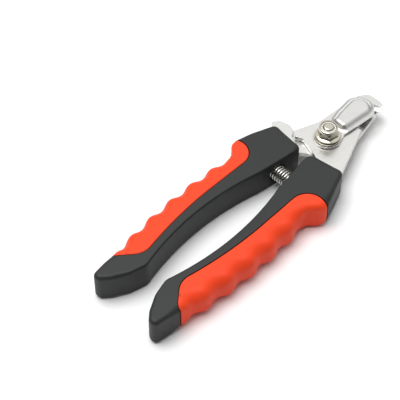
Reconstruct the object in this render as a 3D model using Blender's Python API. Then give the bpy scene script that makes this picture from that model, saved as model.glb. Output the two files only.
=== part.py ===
"""Plier-type pet nail clipper: two crossed blade levers on one bolt, with a safety guard and a lock.

Lengths below are millimetres and are turned into metres when a mesh is made. Plan positions are
measured from the pivot axis: +X runs forward to the blade tips, +Y to the left lever, and z = 0 is
the surface that both handles lie on.
"""

import math

import bpy
import numpy as np
from mathutils import Vector

MM = 0.001

# Clearances
GAP = 0.3                    # between moulded or pressed pieces that touch
STACK_GAP = 0.25             # between the faces stacked on the bolt
RUNNING = 0.15               # radial, on round running fits
OVERRUN = 1.0                # by which a cutting tool passes the piece

# Handles
HANDLE_HEIGHT = 14.2
FRONT_FACE_X = -13.9
NOSE_INNER_Y = 2.3
FRONT_CORNER = (-12.3, 19.4)
SHOULDER_PEAK = (-32.2, 27.2)
ARCH_START_X = -37.0
ARCH_MIDDLE_Y = 9.7
HEEL_INNER_Y = 5.2
BUTT_X = -124.0
HEEL_TO_BUTT = 19.0
BUTT_OUTER_Y = 17.8
BUTT_INNER_Y = 14.0
BACK_MIDDLE_X = -68.0
BACK_MIDDLE_Y = 23.7
BACK_REAR_Y = 20.5
WAVE_PITCH = 12.2
WAVE_DEPTH = 0.6
WAVE_CREST_X = -74.0
WAVE_FRONT_X = -43.0
WAVE_REAR_TO_BUTT = 17.0
INNER_EDGE_RADIUS = 0.9
SHOULDER_EDGE_RADIUS = 2.0
NOSE_EDGE_RADIUS = 2.5
GRIP_FRONT_EDGE_RADIUS = 3.6
GRIP_EDGE_RADIUS = 5.0
BUTT_EDGE_RADIUS = 1.9
LEAST_EDGE_RADIUS = 0.3

# Grips
GRIP_WALL = 2.2
GRIP_FRONT_X = -30.2
GRIP_REAR_TO_BUTT = 12.5
GRIP_INNER_Y = 14.2
GRIP_REAR_INNER_Y = 10.4
GRIP_TAPER_X = -60.0

# Blade plates
PLATE_THICKNESS = 2.2
TIP_REACH = 32.9
JAW_BACK_Y = 7.9
NOTCH_CENTRE = (22.5, -6.5)
NOTCH_RADIUS = 6.3
BEVEL_WIDTH = 2.3
BEVEL_DEPTH = 1.5
SHOULDER = (-9.3, 11.6)
LOWER_JAW_TURN = 5.0         # degrees that the lower jaw is set further shut
JAW_ROOT_X = 8.0
TANG_END_X = -60.0

# Pivot stack
BOLT_RADIUS = 2.5
BUSH_RADIUS = 4.0
BOLT_HEAD_RADIUS = 4.8
BOLT_HEAD_HEIGHT = 2.7
WASHER_THICKNESS = 0.5
HEAD_WASHER_RADIUS = 5.5
NUT_WASHER_RADIUS = 6.0
GUARD_THICKNESS = 0.9
NUT_HEIGHT = 5.4
NUT_FLANGE_RADIUS = 5.6
NUT_ACROSS_FLATS = 8.0
NUT_COLLAR_RADIUS = 4.2
INSERT_RADIUS = 3.3
INSERT_DEPTH = 1.5
BOLT_STAND_OUT = 0.3

# Safety guard
GUARD_BASE_RADIUS = 6.4
GUARD_NECK_HALF = 4.9
GUARD_NECK_X = 6.0
GUARD_PAN_HALF = 6.1
GUARD_PAN_X = 13.0
GUARD_END_RADIUS = 7.0
GUARD_END_X = 22.0
GUARD_OFFSET_Y = 0.9
GUARD_RISE = 2.2
GUARD_RIM_DROP = 1.9
GUARD_RIM_WIDTH = 0.5
GUARD_SLOPE_WIDTH = 3.0
GUARD_RAMP_X = (6.2, 9.2)

# Return spring
SPRING_X = -28.0
SPRING_RADIUS = 3.7
WIRE_RADIUS = 0.48
SPRING_TURNS = 15
SPRING_HALF_LENGTH = 10.2
SPRING_POCKET_CLEARANCE = 0.5
SPRING_POCKET_START_Y = 0.5

# Lock lever
LOCK_PIVOT = (-19.5, 9.0)
LOCK_THICKNESS = 1.8
LOCK_HUB_RADIUS = 3.1
LOCK_PIN_RADIUS = 1.5
LOCK_PIN_HEAD_RADIUS = 2.6
LOCK_PIN_HEAD_HEIGHT = 0.9
LOCK_PIN_TAIL_HEIGHT = 0.8
LOCK_WELL_CLEARANCE = 0.8
LOCK_WASHER_THICKNESS = 0.4
LOCK_SLOT_BACK_X = -23.2
LOCK_SLOT_INNER_Y = 5.2

# Places along the handles that follow from their ends
HEEL_X = BUTT_X + HEEL_TO_BUTT
ARCH_MIDDLE_X = (HEEL_X + ARCH_START_X) / 2
WAVE_REAR_X = BUTT_X + WAVE_REAR_TO_BUTT
GRIP_REAR_X = BUTT_X + GRIP_REAR_TO_BUTT
GRIP_TAPER_END_X = GRIP_REAR_X + 13.5

# Levels of the stack, from the plane where the two blade plates slide
MID_Z = HANDLE_HEIGHT / 2
UPPER_PLATE_Z = MID_Z + GAP / 2
LOWER_PLATE_Z = MID_Z - GAP / 2 - PLATE_THICKNESS
UPPER_PLATE_TOP = UPPER_PLATE_Z + PLATE_THICKNESS
HEAD_WASHER_Z = LOWER_PLATE_Z - STACK_GAP - WASHER_THICKNESS
BOLT_HEAD_Z = HEAD_WASHER_Z - STACK_GAP - BOLT_HEAD_HEIGHT
GUARD_Z = UPPER_PLATE_TOP + STACK_GAP
NUT_WASHER_Z = GUARD_Z + GUARD_THICKNESS + STACK_GAP
NUT_Z = NUT_WASHER_Z + WASHER_THICKNESS + STACK_GAP
NUT_TOP = NUT_Z + NUT_HEIGHT
BOLT_END_Z = NUT_TOP + BOLT_STAND_OUT
LOCK_Z = UPPER_PLATE_Z
LOCK_WASHER_Z = LOCK_Z + LOCK_THICKNESS + STACK_GAP
LOCK_HEAD_Z = LOCK_WASHER_Z + LOCK_WASHER_THICKNESS + STACK_GAP
LOCK_HEAD_TOP = LOCK_HEAD_Z + LOCK_PIN_HEAD_HEIGHT


# ---------------------------------------------------------------- outlines

def rounded(corners, step=18.0):
    """Closed outline through (x, y, radius) corners, each rounded by an arc of its radius."""
    points = []
    count = len(corners)
    for i, (x, y, radius) in enumerate(corners):
        here = np.array([x, y])
        if radius == 0:
            points.append(here)
            continue
        back = np.array(corners[i - 1][:2]) - here
        ahead = np.array(corners[(i + 1) % count][:2]) - here
        back, ahead = back / np.hypot(*back), ahead / np.hypot(*ahead)
        half = math.acos(np.clip(back @ ahead, -1, 1)) / 2
        centre = here + (back + ahead) / np.hypot(*(back + ahead)) * radius / math.sin(half)
        start = here + back * radius / math.tan(half) - centre
        end = here + ahead * radius / math.tan(half) - centre
        turn = math.atan2(start[0] * end[1] - start[1] * end[0], start @ end)
        pieces = max(1, round(abs(math.degrees(turn)) / step))
        for k in range(pieces + 1):
            a = turn * k / pieces
            c, s = math.cos(a), math.sin(a)
            points.append(centre + np.array([start[0] * c - start[1] * s, start[0] * s + start[1] * c]))
    return np.array(points)


def mirrored(outline):
    """The same outline on the other side of the centreline, still running anticlockwise."""
    return (outline * [1, -1])[::-1]


def turned_about(outline, degrees, centre=(0.0, 0.0)):
    """The outline turned in plan about a centre."""
    a = math.radians(degrees)
    c, s = math.cos(a), math.sin(a)
    return (outline - centre) @ np.array([[c, s], [-s, c]]) + centre


def outward(outline):
    """Offset direction of each point: moving by one unit moves both of its edges out by one."""
    edges = np.roll(outline, -1, axis=0) - outline
    edges = edges / np.linalg.norm(edges, axis=1)[:, None]
    normals = np.column_stack([edges[:, 1], -edges[:, 0]])
    both = normals + np.roll(normals, 1, axis=0)
    return 2 * both / np.maximum((both ** 2).sum(axis=1), 1.0)[:, None]


def grown(outline, distance):
    """The outline moved out by a distance, or in by a negative one."""
    return outline + outward(outline) * distance


def arch_y(x):
    """Inner edge of a handle: a shallow arch between the spring and the heel."""
    share = (x - ARCH_MIDDLE_X) / (HEEL_X - ARCH_MIDDLE_X)
    return ARCH_MIDDLE_Y - (ARCH_MIDDLE_Y - HEEL_INNER_Y) * share ** 2


def back_y(x):
    """Outer edge of a grip: a shallow bow with finger waves along it."""
    wave = WAVE_DEPTH * math.cos(2 * math.pi * (x - WAVE_CREST_X) / WAVE_PITCH)
    share = (x - BACK_MIDDLE_X) / (WAVE_REAR_X - BACK_MIDDLE_X)
    return BACK_MIDDLE_Y - (BACK_MIDDLE_Y - BACK_REAR_Y) * share ** 2 + wave


def smoothed(values, width):
    """Running mean around a closed outline."""
    spare = width - 1
    looped = np.concatenate([values[-spare:], values, values[:spare]])
    return np.convolve(looped, np.ones(width) / width, "same")[spare:-spare]


def handle_outline():
    """Left handle in plan, anticlockwise.

    With it come the edge radius wanted at each point, and the share of the grip's wall by which the
    core under the grip stays back there: all of it along the grip, and little elsewhere.
    """
    inner = [(BUTT_X + 4.2, 10.8, 6.0), (BUTT_X + 10.8, 7.3, 9.0), (HEEL_X, HEEL_INNER_Y, 5.0)]
    inner += [(x, arch_y(x), 0) for x in np.linspace(HEEL_X + 3.5, ARCH_START_X - 1, 15)]
    nose = [(-19.0, 2.7, 4.0), (FRONT_FACE_X - 0.2, NOSE_INNER_Y, 3.1), (FRONT_FACE_X, 7.0, 4.0)]
    shoulder = [(*FRONT_CORNER, 3.0), (*SHOULDER_PEAK, 5.0), (-38.4, 21.5, 4.5)]
    waves = [(x, back_y(x), 0) for x in np.linspace(WAVE_FRONT_X, WAVE_REAR_X, 54)]
    run = np.linspace((WAVE_REAR_X, back_y(WAVE_REAR_X)), (BUTT_X + 5.0, BUTT_OUTER_Y + 0.7), 8)[1:]
    butt = [(x, y, 0) for x, y in run]
    butt += [(BUTT_X, BUTT_OUTER_Y, 2.4), (BUTT_X + 0.6, BUTT_INNER_Y, 2.3)]
    outline = rounded(inner + nose + shoulder + waves + butt)
    radius = np.full(len(outline), INNER_EDGE_RADIUS)
    x, y = outline.T
    outer = y > arch_y(np.clip(x, HEEL_X, ARCH_START_X)) + 6.0
    radius[outer] = SHOULDER_EDGE_RADIUS
    radius[outer & (x < GRIP_FRONT_X + 4)] = GRIP_FRONT_EDGE_RADIUS
    radius[outer & (x < WAVE_FRONT_X) & (x > WAVE_REAR_X)] = GRIP_EDGE_RADIUS
    radius[(x > FRONT_CORNER[0] - 5) & (y < FRONT_CORNER[1] - 2)] = NOSE_EDGE_RADIUS
    radius[x < GRIP_REAR_X - 2] = BUTT_EDGE_RADIUS
    share = np.where(outer & (x < GRIP_FRONT_X + 4) & (x > GRIP_REAR_X - 4), 1.0, 0.3)
    return outline, smoothed(radius, 7), smoothed(share, 3)


def grip_region(inset=0.0):
    """Plan region that the grip covers; its outer side runs well past the handle."""
    beyond = 40.0
    share = np.linspace(1, 0, 7)
    along = GRIP_TAPER_X + (GRIP_TAPER_END_X - GRIP_TAPER_X) * share
    across = GRIP_INNER_Y - (GRIP_INNER_Y - GRIP_REAR_INNER_Y) * share ** 2
    taper = [(x, y, 0) for x, y in zip(along, across)]
    corners = [(GRIP_REAR_X, beyond, 0), (GRIP_REAR_X, 18.0, 5.0), (GRIP_REAR_X + 9.1, 10.2, 9.0)]
    corners += taper + [(GRIP_FRONT_X, GRIP_INNER_Y - 0.4, 8.0), (GRIP_FRONT_X, beyond, 0)]
    return grown(rounded(corners), -inset)


def blade_outline():
    """Upper blade plate in plan: jaw with a round notch, pivot disc, shoulder and tang."""
    notch_x, notch_y = NOTCH_CENTRE
    outer = [(SHOULDER[0], SHOULDER[1], 0.6), (-7.4, 7.4, 1.5), (-11.4, -2.7, 2.0), (-12.8, -4.6, 0),
             (-22.4, -5.8, 1.5), (-22.8, -11.4, 1.5), (-34.0, -12.2, 4.0), (TANG_END_X, -12.2, 2.0),
             (TANG_END_X, -16.6, 2.0), (-37.0, -17.2, 6.0), (-22.0, -19.2, 6.0), (-14.0, -18.4, 4.0),
             (-8.4, -16.5, 4.0), (8.0, -9.9, 20.0)]
    lip_y, beak_y = notch_y + 0.3, notch_y + 0.9
    lip = [(notch_x - NOTCH_RADIUS - 0.35, lip_y - 0.4, 0.4)]
    first = math.pi - math.asin((lip_y - notch_y) / NOTCH_RADIUS)
    last = math.asin((beak_y - notch_y) / NOTCH_RADIUS)
    notch = [(notch_x + NOTCH_RADIUS * math.cos(a), notch_y + NOTCH_RADIUS * math.sin(a), 0)
             for a in np.linspace(first, last, 16)]
    hook = [(TIP_REACH - 1.4, beak_y - 0.2, 0.7), (TIP_REACH, -2.6, 2.5), (TIP_REACH, 4.6, 3.6),
            (27.6, 7.2, 7.0), (21.5, JAW_BACK_Y, 10.0), (6.4, 9.0, 20.0)]
    return rounded(outer + lip + notch + hook, step=15.0)


def lower_blade_outline():
    """Lower blade plate in plan: the upper one's mirror image with its jaw set a little shut."""
    lower = mirrored(blade_outline())
    jaw = lower[:, 0] > JAW_ROOT_X
    lower[jaw] = turned_about(lower[jaw], LOWER_JAW_TURN)
    return lower


def lever_outline():
    """Lock lever in plan, locked: hub, catch face behind the blade shoulder, and thumb tab."""
    (x, y), hub = LOCK_PIVOT, LOCK_HUB_RADIUS
    return rounded([(-12.2, 6.0, 0.8), (-9.25, 12.4, 0.6), (-6.5, 13.6, 1.6), (-5.1, 17.4, 3.4),
                    (-6.1, 22.2, 3.0), (-9.3, 24.6, 1.2), (-13.0, 20.6, 2.5), (-16.5, 17.6, 3.0),
                    (x - hub, y + 0.5 * hub, 0.9 * hub), (x - hub, y - hub, 0.95 * hub),
                    (x + 2.2, y - hub, 2.0)], step=15.0)


# ---------------------------------------------------------------- meshes

def material(name, colour, roughness, metallic=0.0):
    """Principled material with plain values."""
    made = bpy.data.materials.new(name)
    made.use_nodes = True
    shader = made.node_tree.nodes["Principled BSDF"]
    shader.inputs["Base Color"].default_value = (*colour, 1.0)
    shader.inputs["Roughness"].default_value = roughness
    shader.inputs["Metallic"].default_value = metallic
    return made


def add_piece(name, vertices, faces, finish, parent, smooth=False):
    """Object from vertices in millimetres, measured from its parent empty."""
    mesh = bpy.data.meshes.new(name)
    place = np.array(parent.location) / MM if parent else np.zeros(3)
    mesh.from_pydata(((np.asarray(vertices, float) - place) * MM).tolist(), [], faces)
    mesh.validate()
    if finish:
        mesh.materials.append(finish)
    if smooth:
        mesh.shade_smooth()
        mesh.set_sharp_from_angle(angle=math.radians(35))
    piece = bpy.data.objects.new(name, mesh)
    bpy.context.scene.collection.objects.link(piece)
    piece.parent = parent
    return piece


def stack_faces(rings, size):
    """Faces of a closed body made of equal rings, from the lowest ring up, with both ends capped."""
    faces = [[k * size + i, k * size + (i + 1) % size, (k + 1) * size + (i + 1) % size, (k + 1) * size + i]
             for k in range(rings - 1) for i in range(size)]
    return [list(range(size))[::-1]] + faces + [[(rings - 1) * size + i for i in range(size)]]


def prism(name, outline, low, high, finish, parent):
    """Flat plate or block: an outline carried straight up between two heights."""
    rings = np.vstack([np.column_stack([outline, np.full(len(outline), z)]) for z in (low, high)])
    return add_piece(name, rings, stack_faces(2, len(outline)), finish, parent)


def moulded(name, shape, wall, finish, parent, steps=4):
    """Handle body, or with a wall the body left under one, with rounded upper and lower edges."""
    outline, radius, share = shape
    way = outward(outline)
    reach = np.maximum(radius - wall, LEAST_EDGE_RADIUS) if wall else radius
    lower, upper = [], []
    for a in np.linspace(math.pi / 2, 0, steps + 1):
        flat = outline - way * (wall * share + reach * (1 - math.cos(a)))[:, None]
        edge = wall + reach * (1 - math.sin(a))
        lower.append(np.column_stack([flat, edge]))
        upper.append(np.column_stack([flat, HANDLE_HEIGHT - edge]))
    rings = lower + upper[::-1]
    return add_piece(name, np.vstack(rings), stack_faces(len(rings), len(outline)), finish, parent, True)


def turned(name, profile, finish, parent, centre=(0.0, 0.0), sides=40):
    """Body turned about an upright axis from an (r, z) profile that runs anticlockwise."""
    angles = np.linspace(0, 2 * math.pi, sides, endpoint=False)
    vertices, rows = [], []
    for r, z in profile:
        if r == 0:
            rows.append([len(vertices)] * sides)
            vertices.append((centre[0], centre[1], z))
        else:
            rows.append(list(range(len(vertices), len(vertices) + sides)))
            vertices += [(centre[0] + r * math.cos(a), centre[1] + r * math.sin(a), z) for a in angles]
    faces = []
    for this, after in zip(rows, rows[1:] + rows[:1]):
        for i in range(sides):
            j = (i + 1) % sides
            corners = [this[i], this[j], after[j], after[i]]
            face = [v for n, v in enumerate(corners) if v != corners[n - 1]]
            if len(face) > 2:
                faces.append(face)
    return add_piece(name, vertices, faces, finish, parent, True)


def combine(target, tool, operation="DIFFERENCE"):
    """Boolean of a piece with a hidden tool."""
    tool.hide_render = True
    tool.display_type = "WIRE"
    step = target.modifiers.new(tool.name, "BOOLEAN")
    step.operation = operation
    step.solver = "EXACT"
    step.object = tool


def bore(target, radius, low, high, centre=(0.0, 0.0), sides=40):
    """Straight upright hole."""
    tool = turned(target.name + "_bore_tool", [(0, low), (radius, low), (radius, high), (0, high)],
                  None, target.parent, centre, sides)
    combine(target, tool)


# ---------------------------------------------------------------- pieces

def spring_pocket(name, side, parent, sides=28):
    """Tool for the round blind hole that one end of the spring sits in."""
    radius = SPRING_RADIUS + SPRING_POCKET_CLEARANCE
    a = np.linspace(0, 2 * math.pi, sides, endpoint=False)
    x, z = SPRING_X + radius * np.cos(a), MID_Z + radius * np.sin(a)
    ends = [np.column_stack([x, np.full(sides, y * side), z])
            for y in (SPRING_HALF_LENGTH + GAP, SPRING_POCKET_START_Y)]
    return add_piece(name, np.vstack(ends[::side]), stack_faces(2, sides), None, parent)


def make_handle(side, word, core_finish, grip_finish, parent):
    """Core and grip of one handle; side is +1 for the left lever and -1 for the right one."""
    shape = handle_outline()
    region, inner_region = grip_region(), grip_region(GAP)
    plate, plate_low = blade_outline(), UPPER_PLATE_Z
    if side < 0:
        outline, radius, share = shape
        shape = mirrored(outline), radius[::-1], share[::-1]
        region, inner_region = mirrored(region), mirrored(inner_region)
    else:
        plate, plate_low = mirrored(plate), LOWER_PLATE_Z
    below, above = -OVERRUN, HANDLE_HEIGHT + OVERRUN

    core = moulded(word + "_handle_core", shape, 0.0, core_finish, parent)
    sleeve_space = prism(word + "_sleeve_space", region, below, above, None, parent)
    combine(sleeve_space, moulded(word + "_kept_core", shape, GRIP_WALL, None, parent))
    combine(core, sleeve_space)
    combine(core, prism(word + "_tang_seat", grown(plate, GAP), plate_low - GAP,
                        plate_low + PLATE_THICKNESS + GAP, None, parent))
    combine(core, spring_pocket(word + "_spring_pocket", side, parent))

    grip = moulded(word + "_grip", shape, 0.0, grip_finish, parent)
    combine(grip, prism(word + "_grip_part", inner_region, below, above, None, parent), "INTERSECT")
    combine(grip, moulded(word + "_grip_hollow", shape, GRIP_WALL - GAP, None, parent))
    return core


def make_blade(name, outline, low, finish, parent):
    """Blade plate with its pivot bore."""
    high = low + PLATE_THICKNESS
    plate = prism(name, outline, low, high, finish, parent)
    bore(plate, BUSH_RADIUS + RUNNING, low - OVERRUN, high + OVERRUN)
    return plate


def bevel_tool(name, centre, face_z, away, parent):
    """Cone that grinds the notch's edge on the face at face_z; away is +1 for an upper face."""
    deep, over = face_z - away * BEVEL_DEPTH, face_z + away * OVERRUN
    wide = NOTCH_RADIUS + BEVEL_WIDTH * (1 + OVERRUN / BEVEL_DEPTH)
    profile = [(0, deep), (NOTCH_RADIUS, deep), (wide, over), (0, over)]
    if away < 0:
        profile = profile[::-1]
    return turned(name, profile, None, parent, centre, 64)


def make_blades(finish, right_parent, left_parent):
    """Both plates: the upper one is the right lever's, and the lower one is its mirror image."""
    right = make_blade("right_blade_plate", blade_outline(), UPPER_PLATE_Z, finish, right_parent)
    combine(right, bevel_tool("right_bevel_tool", NOTCH_CENTRE, UPPER_PLATE_TOP, 1, right_parent))

    notch = turned_about(np.array([NOTCH_CENTRE[0], -NOTCH_CENTRE[1]]), LOWER_JAW_TURN)
    left = make_blade("left_blade_plate", lower_blade_outline(), LOWER_PLATE_Z, finish, left_parent)
    combine(left, bevel_tool("left_bevel_tool", tuple(notch), LOWER_PLATE_Z, -1, left_parent))
    bore(left, LOCK_PIN_RADIUS + RUNNING, LOWER_PLATE_Z - OVERRUN, MID_Z + OVERRUN, LOCK_PIVOT, 24)


def ring(inner, outer, low, high):
    """Profile of a flat ring."""
    return [(inner, low), (outer, low), (outer, high), (inner, high)]


def make_pivot(steel, nickel, nylon, parent):
    """Bolt, bush, washers and the flanged lock nut with its nylon insert."""
    head_top = BOLT_HEAD_Z + BOLT_HEAD_HEIGHT
    bolt = turned("pivot_bolt", [
        (0, BOLT_HEAD_Z), (BOLT_HEAD_RADIUS - 1.4, BOLT_HEAD_Z), (BOLT_HEAD_RADIUS - 0.5, BOLT_HEAD_Z + 0.5),
        (BOLT_HEAD_RADIUS, BOLT_HEAD_Z + 1.5), (BOLT_HEAD_RADIUS, head_top), (BOLT_RADIUS, head_top),
        (BOLT_RADIUS, BOLT_END_Z - 0.5), (BOLT_RADIUS - 0.5, BOLT_END_Z), (0, BOLT_END_Z)], nickel, parent)
    a = np.linspace(0, 2 * math.pi, 6, endpoint=False)
    key = np.column_stack([np.cos(a), np.sin(a)]) * 1.5 / math.cos(math.pi / 6)
    combine(bolt, prism("bolt_socket_tool", key, BOLT_HEAD_Z - 1, BOLT_HEAD_Z + 1.6, None, parent))

    clear = BOLT_RADIUS + RUNNING
    turned("pivot_bush", ring(clear, BUSH_RADIUS, LOWER_PLATE_Z, UPPER_PLATE_TOP), steel, parent)
    turned("head_washer", ring(clear, HEAD_WASHER_RADIUS, HEAD_WASHER_Z, HEAD_WASHER_Z + WASHER_THICKNESS),
           nickel, parent)
    turned("nut_washer", ring(clear, NUT_WASHER_RADIUS, NUT_WASHER_Z, NUT_WASHER_Z + WASHER_THICKNESS),
           nickel, parent)

    flange_top = NUT_Z + 1.1
    hex_top = NUT_TOP - INSERT_DEPTH - 0.2
    collar = [(clear, NUT_Z), (NUT_FLANGE_RADIUS, NUT_Z), (NUT_FLANGE_RADIUS, NUT_Z + 0.5),
              (NUT_COLLAR_RADIUS, flange_top), (NUT_COLLAR_RADIUS, NUT_TOP - 0.5),
              (NUT_COLLAR_RADIUS - 0.4, NUT_TOP), (INSERT_RADIUS + RUNNING, NUT_TOP),
              (INSERT_RADIUS + RUNNING, NUT_TOP - INSERT_DEPTH), (clear, NUT_TOP - INSERT_DEPTH)]
    nut = turned("flange_nut", collar, nickel, parent, sides=48)
    a = a + math.radians(20)
    hexagon = np.column_stack([np.cos(a), np.sin(a)]) * NUT_ACROSS_FLATS / 2 / math.cos(math.pi / 6)
    flats = prism("nut_flats", hexagon, NUT_Z + 0.3, hex_top, None, parent)
    bore(flats, INSERT_RADIUS + GAP, NUT_Z - OVERRUN, NUT_TOP + OVERRUN)
    combine(nut, flats, "UNION")
    turned("nut_insert", [
        (clear, NUT_TOP - INSERT_DEPTH + GAP), (INSERT_RADIUS, NUT_TOP - INSERT_DEPTH + GAP),
        (INSERT_RADIUS, NUT_TOP - 0.35), (clear + 0.3, NUT_TOP - 0.1), (clear, NUT_TOP - 0.2)],
        nylon, parent)


def make_guard(finish, parent):
    """Stamped guard: a flat ring under the nut that steps up to a raised pan over the jaws."""
    start, end = -GUARD_BASE_RADIUS, GUARD_END_X + GUARD_END_RADIUS
    t = np.linspace(0, math.pi, 37)
    x = (start + end) / 2 - (end - start) / 2 * np.cos(t)
    half = np.interp(x, [0, GUARD_NECK_X, GUARD_PAN_X, GUARD_END_X],
                     [GUARD_BASE_RADIUS, GUARD_NECK_HALF, GUARD_PAN_HALF, GUARD_END_RADIUS])
    half = np.where(x < 0, np.sqrt(np.maximum(GUARD_BASE_RADIUS ** 2 - x ** 2, 0)), half)
    tail = np.sqrt(np.maximum(GUARD_END_RADIUS ** 2 - (x - GUARD_END_X) ** 2, 0))
    half = np.where(x > GUARD_END_X, tail, half)
    middle = GUARD_OFFSET_Y * np.clip(x / 14.0, 0, 1)
    v = np.linspace(-1, 1, 15)[None, :]
    x, half, middle = x[1:-1, None], half[1:-1, None], middle[1:-1, None]
    y = middle + half * v
    from_side = half * (1 - np.abs(v))
    from_end = GUARD_END_RADIUS - np.hypot(np.maximum(x - GUARD_END_X, 0), y - GUARD_OFFSET_Y)
    edge = np.where(x > GUARD_END_X, from_end, from_side)
    slope = np.clip((edge - GUARD_RIM_WIDTH) / GUARD_SLOPE_WIDTH, 0, 1)
    pan = GUARD_RISE - GUARD_RIM_DROP * (1 - slope)
    ramp = np.clip((x - GUARD_RAMP_X[0]) / (GUARD_RAMP_X[1] - GUARD_RAMP_X[0]), 0, 1)
    low = GUARD_Z + pan * ramp * ramp * (3 - 2 * ramp)
    rows, columns = y.shape
    wide_x = np.broadcast_to(x, y.shape)
    under = np.stack([wide_x, y, low], axis=-1).reshape(-1, 3)
    over = under + [0, 0, GUARD_THICKNESS]
    faces = []
    count = rows * columns
    for i in range(rows - 1):
        for j in range(columns - 1):
            a, b = i * columns + j, (i + 1) * columns + j
            faces += [[a, a + 1, b + 1, b], [count + a, count + b, count + b + 1, count + a + 1]]
    rim = [i * columns for i in range(rows)] + [(rows - 1) * columns + j for j in range(1, columns)]
    rim += [i * columns + columns - 1 for i in range(rows - 2, -1, -1)] + list(range(columns - 2, 0, -1))
    faces += [[a, b, count + b, count + a] for a, b in zip(rim, rim[1:] + rim[:1])]
    guard = add_piece("safety_guard", np.vstack([under, over]), faces, finish, parent, True)
    bore(guard, BOLT_RADIUS + RUNNING, GUARD_Z - OVERRUN, GUARD_Z + GUARD_THICKNESS + OVERRUN)


def make_spring(finish, parent):
    """Coil compression spring across the handles, with closed end turns."""
    per_turn, sides = 14, 6
    steps = SPRING_TURNS * per_turn
    angle = np.linspace(0, 2 * math.pi * SPRING_TURNS, steps + 1)
    end = SPRING_HALF_LENGTH - WIRE_RADIUS
    along = np.linspace(-end, end, steps + 1)
    coil = SPRING_RADIUS - WIRE_RADIUS
    rings = []
    for a, y in zip(angle, along):
        out = np.array([math.cos(a), 0, math.sin(a)])
        for b in np.linspace(0, 2 * math.pi, sides, endpoint=False):
            rings.append(np.array([SPRING_X, y, MID_Z]) + out * (coil + WIRE_RADIUS * math.cos(b))
                         + np.array([0, WIRE_RADIUS * math.sin(b), 0]))
    add_piece("return_spring", rings, stack_faces(steps + 1, sides), finish, parent, True)


def make_lock(steel, parent, lever_parent, core):
    """Lock lever, the pin that it turns on and the washer under the pin's head."""
    lever = prism("lock_lever", lever_outline(), LOCK_Z, LOCK_Z + LOCK_THICKNESS, steel, lever_parent)
    clear = LOCK_PIN_RADIUS + RUNNING
    bore(lever, clear, LOCK_Z - OVERRUN, LOCK_Z + LOCK_THICKNESS + OVERRUN, LOCK_PIVOT, 24)
    tail_top = LOWER_PLATE_Z - STACK_GAP
    tail = tail_top - LOCK_PIN_TAIL_HEIGHT
    chamfer = 0.4
    turned("lock_pin", [
        (0, tail), (LOCK_PIN_HEAD_RADIUS - chamfer, tail), (LOCK_PIN_HEAD_RADIUS, tail + chamfer),
        (LOCK_PIN_HEAD_RADIUS, tail_top), (LOCK_PIN_RADIUS, tail_top), (LOCK_PIN_RADIUS, LOCK_HEAD_Z),
        (LOCK_PIN_HEAD_RADIUS, LOCK_HEAD_Z), (LOCK_PIN_HEAD_RADIUS, LOCK_HEAD_TOP - chamfer),
        (LOCK_PIN_HEAD_RADIUS - chamfer, LOCK_HEAD_TOP), (0, LOCK_HEAD_TOP)], steel, parent, LOCK_PIVOT, 24)
    turned("lock_washer", ring(clear, LOCK_PIN_HEAD_RADIUS + 0.3, LOCK_WASHER_Z,
                               LOCK_WASHER_Z + LOCK_WASHER_THICKNESS), steel, parent, LOCK_PIVOT, 24)

    slot = rounded([(4.0, 3.8, 0), (4.0, 34.0, 0), (LOCK_SLOT_BACK_X, 34.0, 0),
                    (LOCK_SLOT_BACK_X, LOCK_SLOT_INNER_Y, 3.0), (-15.0, LOCK_SLOT_INNER_Y, 2.0),
                    (-13.0, 3.8, 0)])
    combine(core, prism("lock_slot", slot, LOCK_Z - GAP, LOCK_Z + LOCK_THICKNESS + GAP, None, parent))
    bore(core, LOCK_PIN_HEAD_RADIUS + LOCK_WELL_CLEARANCE, tail - GAP, LOCK_HEAD_TOP + GAP, LOCK_PIVOT, 24)


def add_axis(name, x, y):
    """Empty that carries the pieces of one body, on its joint's axis."""
    empty = bpy.data.objects.new(name, None)
    empty.location = Vector((x, y, 0)) * MM
    bpy.context.scene.collection.objects.link(empty)
    return empty


def main():
    """Build every piece about the pivot, then centre the whole model on the origin in plan."""
    for old in list(bpy.data.objects):
        bpy.data.objects.remove(old, do_unlink=True)
    black = material("black_moulding", (0.045, 0.047, 0.046), 0.55)
    orange = material("orange_rubber", (0.95, 0.09, 0.03), 0.5)
    steel = material("satin_steel", (0.72, 0.72, 0.70), 0.28, 1.0)
    nickel = material("nickel_plate", (0.70, 0.66, 0.60), 0.25, 1.0)
    spring_wire = material("spring_wire", (0.62, 0.62, 0.58), 0.22, 1.0)
    nylon = material("pale_nylon", (0.72, 0.71, 0.67), 0.5)

    right = add_axis("right_lever_axis", 0, 0)
    left = add_axis("left_lever_axis", 0, 0)
    guard = add_axis("guard_axis", 0, 0)
    lock = add_axis("lock_axis", *LOCK_PIVOT)

    make_handle(-1, "right", black, orange, right)
    left_core = make_handle(1, "left", black, orange, left)
    make_blades(steel, right, left)
    make_pivot(steel, nickel, nylon, right)
    make_guard(steel, guard)
    make_spring(spring_wire, right)
    make_lock(steel, left, lock, left_core)

    tip = max(blade_outline()[:, 0].max(), lower_blade_outline()[:, 0].max())
    pivot_x = -(handle_outline()[0][:, 0].min() + tip) / 2
    for axis in (right, left, guard, lock):
        axis.location.x += pivot_x * MM


main()
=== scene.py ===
"""Finished look of a plier-type pet nail clipper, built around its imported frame.

Every sub-assembly is a class that holds its sizes in millimetres, measured from the pivot bolt's
axis: +X runs forward to the blade tips, +Y to the left lever, and z = 0 is the surface that both
handles lie on. Meshes are turned into metres, in the frame's own axes, when they are made.
"""

import logging
import math
from dataclasses import dataclass, field
from enum import Enum

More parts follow.
